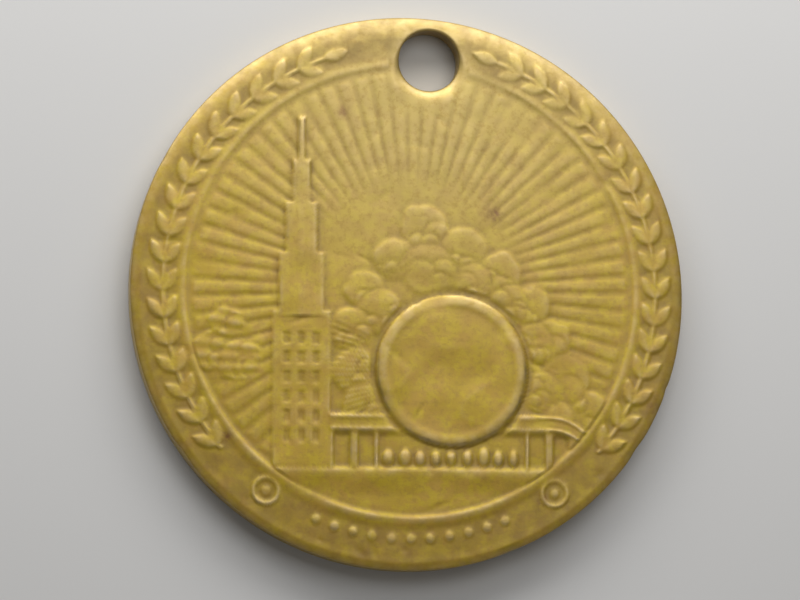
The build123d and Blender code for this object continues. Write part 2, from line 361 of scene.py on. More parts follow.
def viaductRelief(x, y, below):
    # a wall from the tower to the right, less a box under the sun and arches beside it, each a box
    # with a half disc on top, and two worn lines along its deck; all of it sinks by the square of the
    # distance past the bend
    right = x > tower["middle"]
    y = y + viaduct["bend"] * np.clip(x - viaduct["bendFrom"], 0.0, None) ** 2
    wall = rise(groundY + viaduct["rise"] - y) * (y > groundY) * right
    openTop = groundY + viaduct["rise"] - viaduct["crown"]
    spring = openTop - viaduct["archWidth"] / 2
    beside = np.abs(x - sun["x"]) - viaduct["openingWidth"] / 2
    opening = rise(np.minimum(-beside, openTop - y))
    arch = np.clip(np.floor(beside / viaduct["archPitch"]), 0, viaduct["archCount"] - 1)
    off = np.abs(beside - (arch + 0.5) * viaduct["archPitch"])
    halfWidth = viaduct["archWidth"] / 2
    arches = rise(np.where(y < spring, halfWidth - off, halfWidth - np.hypot(off, y - spring)))
    wall = wall * (1.0 - np.maximum(opening, arches))
    height = over(below, wall, viaduct["height"])
    for drop in (0.0, viaduct["railDrop"]):
        rail = wornLine(groundY + viaduct["rise"] - drop - y, viaduct["railAbove"], viaduct["railBelow"])
        height = np.maximum(height, viaduct["railHeight"] * rail * right)
    return height


bushes = {
    "count": 9,
    "pitch": 0.82,
    "width": (0.5, 0.72),  # least and most
    "tall": (0.85, 1.15),
    "sway": 0.08,  # how far one may stand from its place
    "height": 0.07,
    "fullness": 0.7,  # power that rounds them: the lower, the fuller
    "seed": 8,
}


def bushRelief(x, y, below):
    # a row of egg shapes that stand on the ground line, each 1 less the squared shares of its half
    # sizes, to the power of the fullness; sizes and places vary by chance
    chance = np.random.default_rng(bushes["seed"])
    for place in (np.arange(bushes["count"]) - (bushes["count"] - 1) / 2) * bushes["pitch"]:
        middle = sun["x"] + place + chance.uniform(-bushes["sway"], bushes["sway"])
        width, tall = chance.uniform(*bushes["width"]), chance.uniform(*bushes["tall"])
        across = (x - middle) / (width / 2)
        up = (y - groundY - tall / 2) / (tall / 2)
        dome = np.clip(1.0 - across ** 2 - up ** 2, 0.0, 1.0) ** bushes["fullness"]
        below = np.maximum(below, bushes["height"] * dome)
    return below


def wreathRelief(x, y, leafy):
    # works on one half and mirrors it: a stem along an arc, a leaf at its tip, and pairs of leaves
    # down to its foot; each leaf is the overlap of two discs, higher along its midrib
    side = np.abs(x)
    radius = np.hypot(x, y)
    turn = np.degrees(np.arctan2(side, y))  # from the top
    step = np.degrees(leafy["pitch"] / leafy["radius"])
    pairs = int((leafy["footAngle"] - leafy["tipAngle"]) / step)
    along = np.clip(turn, leafy["tipAngle"], leafy["footAngle"])
    stemX, stemY = leafy["radius"] * np.sin(np.radians(along)), leafy["radius"] * np.cos(np.radians(along))
    height = roundLine(np.hypot(side - stemX, y - stemY), leafy["stemWidth"], leafy["stemHeight"])
    length, width = leafy["leafSize"]
    arcRadius = (length ** 2 + width ** 2) / (4 * width)
    first = np.ceil((turn - leafy["tipAngle"]) / step)
    for ahead in (0, 1):
        pair = np.clip(first + ahead, 0, pairs)
        foot = np.radians(leafy["tipAngle"] + pair * step)
        dx, dy = side - leafy["radius"] * np.sin(foot), y - leafy["radius"] * np.cos(foot)
        upStem = -dx * np.cos(foot) + dy * np.sin(foot)
        outwards = np.abs(dx * np.sin(foot) + dy * np.cos(foot))
        splay = np.radians(leafy["splay"]) * (pair > 0)
        u = upStem * np.cos(splay) + outwards * np.sin(splay)
        v = outwards * np.cos(splay) - upStem * np.sin(splay)
        inwards = arcRadius - np.hypot(u - length / 2, np.abs(v) + arcRadius - width / 2)
        ridge = 1.0 - leafy["ridge"] * np.clip(np.abs(v) / (width / 2), 0.0, 1.0)
        height = np.maximum(height, leafy["leafHeight"] * rise(inwards, leafy["leafSoftness"]) * ridge)
    return height


bandInner = borderRadius + border["outside"] / 2
wreath = {
    "radius": (bandInner + rimInner - np.hypot(strike["x"], strike["y"])) / 2,
    "tipAngle": 21.0,
    "footAngle": 130.0,
    "pitch": 1.42,  # along the stem, from one pair of leaves to the next
    "leafSize": (1.38, 0.64),  # length and width
    "splay": 33.0,  # degrees between a leaf and the stem
    "leafHeight": 0.046,
    "leafSoftness": 0.24,
    "ridge": 0.3,  # share by which a leaf sinks from its midrib to its sides
    "stemWidth": 0.26,
    "stemHeight": 0.036,
}
marks = {
    "annuletAngle": 35.7,  # degrees each side of the bottom
    "annuletRadius": 0.65,
    "annuletLine": 0.26,
    "pelletRadius": 0.27,
    "pelletPitch": 1.0,
    "pelletCount": 11,
    "height": 0.04,
}


def markRelief(x, y):
    # a round line in a circle around a dome each side of the bottom, and a row of domes between them
    radius = wreath["radius"]
    fromBottom = np.degrees(np.arctan2(x, -y))
    ringTurn = np.radians(marks["annuletAngle"])
    ringX, ringY = radius * np.sin(ringTurn), -radius * np.cos(ringTurn)
    toMiddle = np.hypot(np.abs(x) - ringX, y - ringY)
    height = roundLine(toMiddle - marks["annuletRadius"], marks["annuletLine"], marks["height"])
    height = np.maximum(height, roundLine(toMiddle, 2 * marks["pelletRadius"], marks["height"]))
    step = np.degrees(marks["pelletPitch"] / radius)
    most = (marks["pelletCount"] - 1) / 2
    nearest = np.radians(np.clip(np.round(fromBottom / step), -most, most) * step)
    away = np.hypot(x - radius * np.sin(nearest), y + radius * np.cos(nearest))
    return np.maximum(height, roundLine(away, 2 * marks["pelletRadius"], marks["height"]))


def wornDown(height):
    # what stands above the worn level keeps only part of its extra height
    extra = np.clip(height - strike["wornLevel"], 0.0, None)
    return height - extra * strike["wornShare"]


def bareAroundHole(x, y):
    # 0 in the bare ring around the hole, 1 outside it
    inwards = insideDisc(x, y, hole["x"], hole["y"], hole["radius"] + hole["land"])
    return 1.0 - rise(inwards, hole["landSoftness"])


def holeDip(x, y):
    # how far the face sinks towards the hole: the squared share of the dip's width that is left
    width, depth = hole["dish"]
    share = np.clip((np.hypot(x - hole["x"], y - hole["y"]) - hole["radius"]) / width, 0.0, 1.0)
    return depth * (1.0 - share) ** 2


def shoulderDrop(x, y, most, least):
    # how far the face sinks towards the edge of the token: the share of its width to the power 1.5,
    # mixed with a quarter of an ellipse, 1 less the root of 1 less the squared share. Width and depth
    # grow from least to most by the squared half of 1 plus the cosine of the turn from the worn side
    side = (0.5 + 0.5 * np.cos(np.arctan2(y, x) - np.radians(blank["wornSide"]))) ** 2
    width = least[0] + (most[0] - least[0]) * side
    depth = least[1] + (most[1] - least[1]) * side
    share = np.clip((np.hypot(x, y) - blank["radius"]) / width + 1.0, 0.0, 1.0)
    quarter = 1.0 - np.sqrt(1.0 - share ** 2)
    return depth * (blank["flank"] * share ** 1.5 + (1.0 - blank["flank"]) * quarter)


def rimCover(x, y):
    # 1 on the rim, 0 on the field
    return rise(np.hypot(x, y) - rimInner - blank["rimStart"], blank["rimSlope"])


def bandGround(x, y, height):
    # 1 on the low ground outside the border, 0 elsewhere
    start, width = strike["bandStart"]
    level, softness = strike["bandLevel"]
    return rise(np.hypot(x, y) - borderRadius - start, width) * (1.0 - rise(height - level, softness))


def obverseHeight(x, y):
    # height over the obverse field: the picture's layers from back to front, then border and band
    dx, dy = x - strike["x"], y - strike["y"]
    uneven = ripples(x, y, strike["seed"] + 4) / strike["waveHeight"]
    height = rayRelief(dx, dy) * np.clip(1.0 + strike["rayUnevenness"] * uneven, *strike["raysLeftOver"])
    for layer in (cloudRelief, viaductRelief, towerRelief, bushRelief, groundRelief, sunRelief):
        height = layer(dx, dy, height)
    height = height * rise(borderRadius - np.hypot(dx, dy))
    for relief in (borderRelief(dx, dy), wreathRelief(dx, dy, wreath), markRelief(dx, dy)):
        height = np.maximum(height, relief)
    height = wornDown(height) * np.clip(1.0 - strike["unevenness"] * uneven, *strike["leftOver"])
    height = over(height * bareAroundHole(x, y), rimCover(x, y), blank["obverseRim"])
    return height - holeDip(x, y)


backBorder = {"inset": 0.75, "width": 0.34, "height": 0.08}
backWreath = {
    "radius": rimInner - 3.3,
    "tipAngle": 36.0,
    "footAngle": 177.0,
    "pitch": 2.0,
    "leafSize": (2.25, 0.96),
    "splay": 32.0,
    "leafHeight": 0.12,
    "leafSoftness": 0.22,
    "ridge": 0.35,
    "stemWidth": 0.3,
    "stemHeight": 0.09,
    "knotRadius": 0.62,
    "knotHeight": 0.12,
}


def reverseHeight(x, y):
    # height over the reverse field, whose picture is seen from below, so x runs the other way
    dx, dy = strike["x"] - x, y - strike["y"]
    radius = rimInner - backBorder["inset"]
    height = roundLine(np.hypot(dx, dy) - radius, backBorder["width"], backBorder["height"])
    height = np.maximum(height, wreathRelief(dx, dy, backWreath))
    toKnot = np.hypot(dx, dy + backWreath["radius"])
    height = np.maximum(height, roundLine(toKnot, 2 * backWreath["knotRadius"], backWreath["knotHeight"]))
    return over(height * bareAroundHole(x, y), rimCover(x, y), blank["reverseDepth"])


# Wear that is in the metal itself

def ripples(x, y, seed):
    # a sum of sine waves of random direction, length and phase
    chance = np.random.default_rng(seed)
    height = np.zeros_like(x)
    for _ in range(strike["waves"]):
        turn = chance.uniform(0.0, 2 * np.pi)
        length = chance.uniform(*strike["waveLength"])
        phase = chance.uniform(0.0, 2 * np.pi)
        height += np.sin((x * np.cos(turn) + y * np.sin(turn)) * 2 * np.pi / length + phase)
    return height * strike["waveHeight"] / np.sqrt(strike["waves"] / 2)


def dents(x, y, seed):
    # small bell-shaped dents, each the exponential of minus the squared share of its radius, and
    # a few short nicks, the same bell drawn out along a line
    chance = np.random.default_rng(seed)
    depth = np.zeros_like(x)
    for _ in range(strike["dents"]):
        away = blank["radius"] * np.sqrt(chance.uniform(0.0, 0.98))
        turn = chance.uniform(0.0, 2 * np.pi)
        lean = chance.uniform(0.0, np.pi)
        size = chance.uniform(*strike["dentSize"])
        stretch = chance.choice(strike["dentStretch"])
        deep = chance.uniform(*strike["dentDepth"])
        dx, dy = x - away * np.cos(turn), y - away * np.sin(turn)
        along = (dx * np.cos(lean) + dy * np.sin(lean)) / stretch
        across = dy * np.cos(lean) - dx * np.sin(lean)
        depth += deep * np.exp(-(along ** 2 + across ** 2) / size ** 2)
    return depth


stains = [  # x, y and radius
    (4.5, 4.1, 0.5), (12.7, -5.8, 0.4), (-9.3, -7.6, 0.35), (-3.4, 9.3, 0.3), (6.9, -10.6, 0.35),
]


def stainShare(points):
    # the strongest of a few bells, the exponential of minus the squared share of each radius
    share = np.zeros(len(points))
    for sx, sy, r in stains:
        share = np.maximum(share, np.exp(-((points[:, 0] - sx) ** 2 + (points[:, 1] - sy) ** 2) / r ** 2))
    return share


edgeNicks = {
    "each": [  # degrees from +X, width and depth
        (-34.0, 0.5, 0.07), (-68.5, 0.7, 0.09), (-20.0, 0.35, 0.05), (152.0, 0.45, 0.05), (216.0, 0.6, 0.05),
    ],
    "inside": (0.25, 0.3),  # how far inside the edge a nick is half gone, and over what width
    "down": 0.6,  # how far it reaches down the edge
}


def nickDepth(points):
    # how far the edge is pushed in: a bell along the edge for each nick, times a bell down the edge
    # from the obverse; it is gone a little way inside the edge
    turn = np.degrees(np.arctan2(points[:, 1], points[:, 0]))
    radius = np.hypot(points[:, 0], points[:, 1])
    inside, softness = edgeNicks["inside"]
    nearEdge = rise(radius - blank["radius"] + inside, softness)
    nearTop = np.exp(-((points[:, 2] - blank["thickness"]) / edgeNicks["down"]) ** 2)
    depth = np.zeros(len(points))
    for angle, width, deep in edgeNicks["each"]:
        along = ((turn - angle + 180.0) % 360.0 - 180.0) * np.pi / 180.0 * blank["radius"]
        depth += deep * np.exp(-(along / width) ** 2)
    return depth * nearEdge * nearTop


# Grid of each face

roundSteps = 4
roundTurns = np.radians(np.linspace(0.0, 90.0, roundSteps + 1))
flatRadius = blank["radius"] - blank["lastRings"]
driftWidth = 1.6  # over what width the rings go from the middle of the strike to that of the blank
# rings: how many rings of cells there are from the middle to the edge
# ringAt and radiusAt: which radius some of those rings have; the rest lie evenly between them
# cell: the ring index and the sideways index that the hole is centred on
# half: sideways and radial half size, in cells, of the block that the hole takes away
# reach: how far the grid is bent around it, in cells: sideways, inwards and outwards
obverseGrid = {
    "rings": 132,
    "ringAt": (0, 86, 97, 103, 119, 128),
    "radiusAt": (0.0, 10.1, borderRadius - 0.25, borderRadius + 0.25, 13.4, flatRadius),
    "cell": (13, 104),
    "half": (20, 16),
    "reach": (36, 34, 24),
}
reverseGrid = {
    "rings": 76,
    "ringAt": (0, 48, 60, 66, 72),
    "radiusAt": (0.0, 10.1, 12.65, 13.4, flatRadius),
    "cell": (7, 58),
    "half": (10, 8),
    "reach": (20, 18, 14),
}
circleCorners = (-45.0, 60.0, 120.0, 225.0, 315.0)  # where the corners of the block go on the hole


def ringPlace(i, j, grid):
    # a square grid bent into a disc: the larger index picks the ring, and the share of the smaller
    # one in it turns the point by up to an eighth of a circle from the middle of its side
    ring = np.maximum(np.abs(i), np.abs(j))
    safe = np.maximum(ring, 1e-9)
    upright = np.abs(j) >= np.abs(i)
    turn = np.where(
        upright,
        np.pi / 2 - np.pi / 4 * i / (safe * np.where(j < 0, -1, 1)) + np.where(j < 0, np.pi, 0.0),
        np.pi / 4 * j / (safe * np.where(i < 0, -1, 1)) + np.where(i < 0, np.pi, 0.0),
    )
    start = grid["rings"] - roundSteps
    flat = np.interp(ring, grid["ringAt"], grid["radiusAt"])
    rounding = np.interp(ring, start + np.arange(roundSteps + 1), blank["lastRings"] * np.sin(roundTurns))
    radius = flat + rounding
    drift = 1.0 - rise(flat - (borderRadius + rimInner) / 2, driftWidth)
    return (
        strike["x"] * drift + radius * np.cos(turn),
        strike["y"] * drift + radius * np.sin(turn),
    )


def holeEdge(turn, roundSize):
    # a point on the circle where the round of the hole starts; turn is in degrees from the tangent
    angle = np.radians(turn) + holeTurn - np.pi / 2
    reach = hole["radius"] + roundSize(turn)
    return hole["x"] + reach * np.cos(angle), hole["y"] + reach * np.sin(angle), angle


def obverseRound(turn):
    # the rolled edge is widest towards the field and narrowest at the rim
    towardsRim = 0.5 + 0.5 * np.cos(np.radians(turn - 90.0))
    start, softness = hole["rolledFade"]
    narrowed = rise(towardsRim - start, softness)
    return hole["rolledEdge"] + (hole["rimSideEdge"] - hole["rolledEdge"]) * narrowed


def reverseRound(turn):
    # the same width all around
    return hole["exitEdge"] + 0.0 * turn


def facePlace(i, j, grid, roundSize):
    # the bent grid, with a nest of rectangles around the hole: the innermost is laid on the edge of
    # the hole, the outermost stays where it is, and each point lies on the straight line between
    x, y = ringPlace(i, j, grid)
    u, v = i - grid["cell"][0], j - grid["cell"][1]
    a, b = grid["half"]
    wide, low, high = grid["reach"]
    t = np.maximum(np.maximum((np.abs(u) - a) / (wide - a), (-v - b) / (low - b)), (v - b) / (high - b))
    near = (t < 1.0) & (j > 0)
    t, u, v = np.clip(t[near], 0.0, 1.0), u[near], v[near]
    halfWide, down, up = a + (wide - a) * t, b + (low - b) * t, b + (high - b) * t
    onRight = np.abs(u - halfWide) < 1e-6
    onLeft = np.abs(u + halfWide) < 1e-6
    onTop = ~onRight & ~onLeft & (v > 0)
    upSide = np.clip((v + down) / (down + up), 0.0, 1.0)
    acrossSide = np.clip((u + halfWide) / (2 * halfWide), 0.0, 1.0)
    c = circleCorners
    turn = np.select(
        [onRight, onTop, onLeft],
        [c[0] + (c[1] - c[0]) * upSide, c[2] + (c[1] - c[2]) * acrossSide, c[3] + (c[2] - c[3]) * upSide],
        c[3] + (c[4] - c[3]) * acrossSide,
    )
    outerU = np.select([onRight, onLeft], [wide, -wide], -wide + 2 * wide * acrossSide)
    outerV = np.select([onRight | onLeft, onTop], [-low + (low + high) * upSide, high], -low)
    outerX, outerY = ringPlace(grid["cell"][0] + outerU, grid["cell"][1] + outerV, grid)
    edgeX, edgeY, _ = holeEdge(turn, roundSize)
    x[near] = edgeX + (outerX - edgeX) * t
    y[near] = edgeY + (outerY - edgeY) * t
    return x, y


def loopAround(lowI, highI, lowJ, highJ):
    # the border of a block of cells, anticlockwise from its lower right corner
    right = [(highI, j) for j in range(lowJ, highJ)]
    top = [(i, highJ) for i in range(highI, lowI, -1)]
    left = [(lowI, j) for j in range(highJ, lowJ, -1)]
    bottom = [(i, lowJ) for i in range(lowI, highI)]
    return np.array(right + top + left + bottom)


def faceGrid(grid, roundSize):
    # the points of one face, its cells without the block of the hole, and the loops of points
    # along its outline and along the hole
    n = grid["rings"]
    j, i = np.meshgrid(np.arange(-n, n + 1), np.arange(-n, n + 1), indexing="ij")

    def number(sideways, up):
        return (up + n) * (2 * n + 1) + sideways + n

    ci, cj = grid["cell"]
    a, b = grid["half"]
    cellI, cellJ = i[:-1, :-1].ravel(), j[:-1, :-1].ravel()
    kept = ~((cellI >= ci - a) & (cellI < ci + a) & (cellJ >= cj - b) & (cellJ < cj + b))
    cellI, cellJ = cellI[kept], cellJ[kept]
    cells = np.stack([
        number(cellI, cellJ),
        number(cellI + 1, cellJ),
        number(cellI + 1, cellJ + 1),
        number(cellI, cellJ + 1),
    ], axis=1)
    outline = number(*loopAround(-n, n, -n, n).T)
    around = number(*loopAround(ci - a, ci + a, cj - b, cj + b).T)
    used, packed = np.unique(cells, return_inverse=True)
    place = np.zeros((2 * n + 1) ** 2, int)
    place[used] = np.arange(len(used))
    flatI, flatJ = i.ravel()[used].astype(float), j.ravel()[used].astype(float)
    x, y = facePlace(flatI, flatJ, grid, roundSize)
    return x, y, packed.reshape(cells.shape), place[outline], place[around]


def circleTurns(grid):
    # where the points of the hole's loop lie around it, in the order of the loop
    a, b = grid["half"]
    c = circleCorners
    counts = (2 * b, 2 * a, 2 * b, 2 * a)
    return np.concatenate([
        np.linspace(start, end, count, endpoint=False) for start, end, count in zip(c, c[1:], counts)
    ])


def splitAlongRelief(cells, points):
    # turns each cell so that the diagonal it is split on is the one whose ends differ least in
    # height, with a little weight for its length, because that one follows the relief
    lengthWeight = 0.06
    corner = points[cells]
    first, second = corner[:, 0] - corner[:, 2], corner[:, 1] - corner[:, 3]

    def cost(diagonal):
        return np.abs(diagonal[:, 2]) + lengthWeight * np.hypot(diagonal[:, 0], diagonal[:, 1])

    return np.where((cost(second) < cost(first))[:, None], np.roll(cells, -1, axis=1), cells)


def quadBand(lower, upper):
    # cells between two loops of as many points; faces look outwards from the loops' middle
    return np.stack([lower, np.roll(lower, -1), np.roll(upper, -1), upper], axis=1)


def zipBand(lower, upper):
    # triangles between two loops of different counts: the steps of both are sorted by how far round
    # they end, and each step makes one triangle with the point that the other loop has reached
    m, n = len(lower), len(upper)
    ends = np.concatenate([(np.arange(m) + 1) / m, (np.arange(n) + 1) / n - 1e-9])
    isLower = np.concatenate([np.ones(m, bool), np.zeros(n, bool)])
    order = np.argsort(ends, kind="stable")
    isLower = isLower[order]
    onLower = np.cumsum(isLower) - isLower
    onUpper = np.cumsum(~isLower) - ~isLower
    third = np.where(isLower, lower[(onLower + 1) % m], upper[(onUpper + 1) % n])
    return np.stack([lower[onLower % m], third, upper[onUpper % n]], axis=1)


# Dirt, wear, painted shade and painted highlight, and the parts of the mesh

wear = {
    "rings": ((0.16, 0.02), (0.42, 0.034)),  # radius of each ring, and the height that counts as full
    "ringPoints": 8,
    "ringTurn": 0.2,  # radians, so that the points lie off the axes
    "obverseCalm": (0.05, 0.1),  # depth of the shoulder where ripples have half faded, and how softly
    "reverseCalm": (0.02, 0.06),
    "shoulder": (0.03, 0.1),  # depth of the shoulder where it gets rubbed bright, and how softly
    "shoulderBright": 0.5,
    "lipBright": 0.75,  # painted highlight: how bright the strip around the hole is made
    "edge": (0.12, 0.1),  # dirt and brightness on the edge of the token
    "round": (0.35, 0.6),  # painted shade in the dirt colour at the foot of the hole's round, and a painted highlight at its top
    "wall": (0.9, 0.0),  # painted shade in the hole: its wall darkened with the dirt colour, with no brightness
}
edgeLoops = {  # how far up the edge the loops of points of each face come, as a share, and how many
    "obverse": (0.5, 3),
    "reverse": (0.42, 2),
}


def newPile():
    # points and faces of one mesh, gathered part by part
    return {"points": [], "hollow": [], "wornAndHighlit": [], "quads": [], "triangles": []}


def addPoints(pile, points, hollow, wornAndHighlit):
    # adds points with their share of dark colour (dirt, and painted shade in the hole) and of bright colour
    # (wear, and a painted highlight around it), and gives back their numbers
    first = sum(len(known) for known in pile["points"])
    pile["points"].append(points)
    pile["hollow"].append(np.broadcast_to(hollow, len(points)))
    pile["wornAndHighlit"].append(np.broadcast_to(wornAndHighlit, len(points)))
    return first + np.arange(len(points))


def addLoop(pile, start, level, dirtShadeAndBright):
    # adds a copy of a loop of points, all at one level
    points = np.concatenate(pile["points"])[start]
    points[:, 2] = level
    return addPoints(pile, points, *dirtShadeAndBright)


def hollowAndWorn(height, x, y):
    # compares each point with the mean of rings of points around it: hollow is how far it lies below
    # that mean and worn how far above, both from 0 to 1
    here = height(x, y)
    hollow, wornAndHighlit = np.zeros_like(x), np.zeros_like(x)
    count, share = wear["ringPoints"], 1.0 / len(wear["rings"])
    for distance, full in wear["rings"]:
        mean = np.zeros_like(x)
        for turn in np.arange(count) * 2 * np.pi / count + wear["ringTurn"]:
            mean += height(x + distance * np.cos(turn), y + distance * np.sin(turn)) / count
        hollow += share * np.clip((mean - here) / full, 0.0, 1.0)
        wornAndHighlit += share * np.clip((here - mean) / full, 0.0, 1.0)
    return hollow, wornAndHighlit


def faceWear(x, y, drop, calm, seed):
    # ripples less dents, a little below the face, and nothing on the steep part of the shoulder
    start, softness = calm
    sink = strike["waveHeight"] * strike["waveSink"]
    return (ripples(x, y, seed) - sink - dents(x, y, seed + 1)) * (1.0 - rise(drop - start, softness))


def addObverse(pile):
    # its relief on the blank less its shoulder and its wear; dirt lies in the hollows and on the low ground
    # of the band, the high places and the shoulder are rubbed bright, and a painted highlight brightens the
    # lip of the hole
    x, y, cells, outline, around = faceGrid(obverseGrid, obverseRound)
    height = obverseHeight(x, y)
    drop = shoulderDrop(x, y, blank["obverseRound"], blank["obverseLeast"])
    z = blank["thickness"] - blank["obverseField"] + height - drop
    z += faceWear(x, y, drop, wear["obverseCalm"], strike["seed"])
    hollow, wornAndHighlit = hollowAndWorn(obverseHeight, x, y)
    # painted highlight: a bright strip on the hole's lip, with its dirt taken away
    inwards = insideDisc(x, y, hole["x"], hole["y"], hole["radius"] + hole["rubbedAndHighlit"] / 2)
    lip = wear["lipBright"] * rise(inwards, hole["rubbedAndHighlit"])
    start, softness = wear["shoulder"]
    shoulder = wear["shoulderBright"] * rise(drop - start, softness)
    wornAndHighlit = np.maximum(np.maximum(wornAndHighlit, lip), shoulder)
    hollow = np.maximum(hollow, strike["bandDirt"] * bandGround(x, y, height) * (1.0 - wornAndHighlit))
    points = np.stack([x, y, z], axis=1)
    numbers = addPoints(pile, points, hollow * (1.0 - lip), wornAndHighlit)
    pile["quads"].append(numbers[splitAlongRelief(cells, points)])
    return numbers[outline], numbers[around]


def addReverse(pile):
    # the same from below, with the cells turned over so that they face down
    x, y, cells, outline, around = faceGrid(reverseGrid, reverseRound)
    drop = shoulderDrop(x, y, blank["reverseRound"], blank["reverseRound"])
    z = blank["reverseDepth"] - reverseHeight(x, y) + drop
    z -= faceWear(x, y, drop, wear["reverseCalm"], strike["seed"] + 2)
    hollow, wornAndHighlit = hollowAndWorn(reverseHeight, x, y)
    points = np.stack([x, y, z], axis=1)
    numbers = addPoints(pile, points, hollow, np.maximum(wornAndHighlit, rise(drop, wear["shoulder"][1])))
    pile["quads"].append(numbers[splitAlongRelief(cells[:, ::-1], points)])
    return numbers[outline], numbers[around]


def addEdge(pile, topOutline, lowOutline):
    # bands straight down from the obverse, then with the reverse's fewer points
    thick = blank["thickness"]
    shoulderFoot = thick - blank["obverseField"] + blank["obverseRim"] - blank["obverseRound"][1]
    share, count = edgeLoops["obverse"]
    upperLevels = np.linspace(shoulderFoot, thick * share, count + 1)[1:]
    loops = [topOutline] + [addLoop(pile, topOutline, level, wear["edge"]) for level in upperLevels]
    for above, below in zip(loops, loops[1:]):
        pile["quads"].append(quadBand(below, above))
    share, count = edgeLoops["reverse"]
    lowerLevels = np.linspace(blank["reverseRound"][1], thick * share, count + 1)[1:]
    backLoops = [lowOutline] + [addLoop(pile, lowOutline, level, wear["edge"]) for level in lowerLevels]
    for below, above in zip(backLoops, backLoops[1:]):
        pile["quads"].append(quadBand(below, above))
    pile["triangles"].append(zipBand(backLoops[-1], loops[-1]))


def roundLoops(pile, start, turns, roundSize, sign):
    # loops down the round of one face: they close in by 1 less the sine of the turn, and sink by 1
    # less its cosine, mixed with the sine by the bevel; painted shade in the dirt colour grows with the
    # fourth power of the sine, and a painted highlight fades with the root of the cosine
    loops = [start]
    size = roundSize(turns)
    face = np.concatenate(pile["points"])[start][:, 2]
    _, _, angle = holeEdge(turns, roundSize)
    # painted shade deep in the round and a painted highlight at its top
    dirtAndShade, brightAndHighlight = wear["round"]
    for turn in roundTurns[1:]:
        reach = hole["radius"] + size * (1.0 - np.sin(turn))
        fall = (1.0 - hole["bevel"]) * (1.0 - np.cos(turn)) + hole["bevel"] * np.sin(turn)
        level = face + sign * size * hole["rolledShare"] * fall
        points = [hole["x"] + reach * np.cos(angle), hole["y"] + reach * np.sin(angle), level]
        shade = dirtAndShade * np.sin(turn) ** 4, brightAndHighlight * np.cos(turn) ** 0.5
        loops.append(addPoints(pile, np.stack(points, axis=1), *shade))
    return loops


def addHole(pile, topHole, lowHole):
    # a round from each face, and the straight wall between them
    topLoops = roundLoops(pile, topHole, circleTurns(obverseGrid), obverseRound, -1.0)
    lowLoops = roundLoops(pile, lowHole, circleTurns(reverseGrid), reverseRound, 1.0)
    # the wall's loops carry painted shade: the dirt colour laid on the inside of the hole
    topLoops += [addLoop(pile, topLoops[-1], level, wear["wall"]) for level in hole["upperLevels"]]
    lowLoops.append(addLoop(pile, lowLoops[-1], hole["lowerLevel"], wear["wall"]))
    for above, below in zip(topLoops, topLoops[1:]):
        pile["quads"].append(quadBand(below, above)[:, ::-1])
    for below, above in zip(lowLoops, lowLoops[1:]):
        pile["quads"].append(quadBand(below, above)[:, ::-1])
    pile["triangles"].append(zipBand(lowLoops[-1], topLoops[-1])[:, ::-1])


def makeToken():
    # both faces, the edge and the hole, then the nicks: each point moves straight in by their depth
    pile = newPile()
    topOutline, topHole = addObverse(pile)
    lowOutline, lowHole = addReverse(pile)
    addEdge(pile, topOutline, lowOutline)
    addHole(pile, topHole, lowHole)
    points = np.concatenate(pile["points"])
    away = np.hypot(points[:, 0], points[:, 1])
    points[:, :2] *= (1.0 - nickDepth(points) / np.maximum(away, 1.0))[:, None]
    rest = [np.concatenate(pile[part]) for part in ("quads", "triangles", "hollow", "wornAndHighlit")]
    return points, *rest


def paintedSheenAmount(points):
    # painted sheen: 1 around the hole, on the top of the token where the lamps light it most, fading to 0
    # with the distance from it
    start, width = hole["paintedSheenFalloff"]
    return 1.0 - rise(np.hypot(points[:, 0] - hole["x"], points[:, 1] - hole["y"]) - start, width)


def meshFrom(name, points, quads, triangles):
    # a smooth mesh from whole arrays: four-sided faces first, then three-sided ones
    mesh = bpy.data.meshes.new(name)
    mesh.vertices.add(len(points))
    mesh.vertices.foreach_set("co", points.astype(np.float32).ravel())
    corners = np.concatenate([quads.ravel(), triangles.ravel()]).astype(np.int32)
    starts = np.concatenate([np.arange(len(quads)) * 4, len(quads) * 4 + np.arange(len(triangles)) * 3])
    mesh.loops.add(len(corners))
    mesh.loops.foreach_set("vertex_index", corners)
    mesh.polygons.add(len(starts))
    mesh.polygons.foreach_set("loop_start", starts.astype(np.int32))
    mesh.polygons.foreach_set("use_smooth", np.ones(len(starts), bool))
    mesh.update(calc_edges=True)
    return mesh


points, quads, triangles, hollow, wornAndHighlit = makeToken()
tokenMesh = meshFrom("struckToken", points * mm, quads, triangles)
attributes = {
    "hollow": hollow,
    "wornAndHighlit": wornAndHighlit,
    "stain": stainShare(points),
    "paintedSheenFalloff": paintedSheenAmount(points),
}
for attributeName, values in attributes.items():
    layer = tokenMesh.attributes.new(attributeName, "FLOAT", "POINT")
    layer.data.foreach_set("value", values.astype(np.float32))
token = bpy.data.objects.new("struckToken", tokenMesh)
bpy.context.scene.collection.objects.link(token)
print("token struck:", len(points), "points,", 2 * len(quads) + len(triangles), "triangles")


# Finish

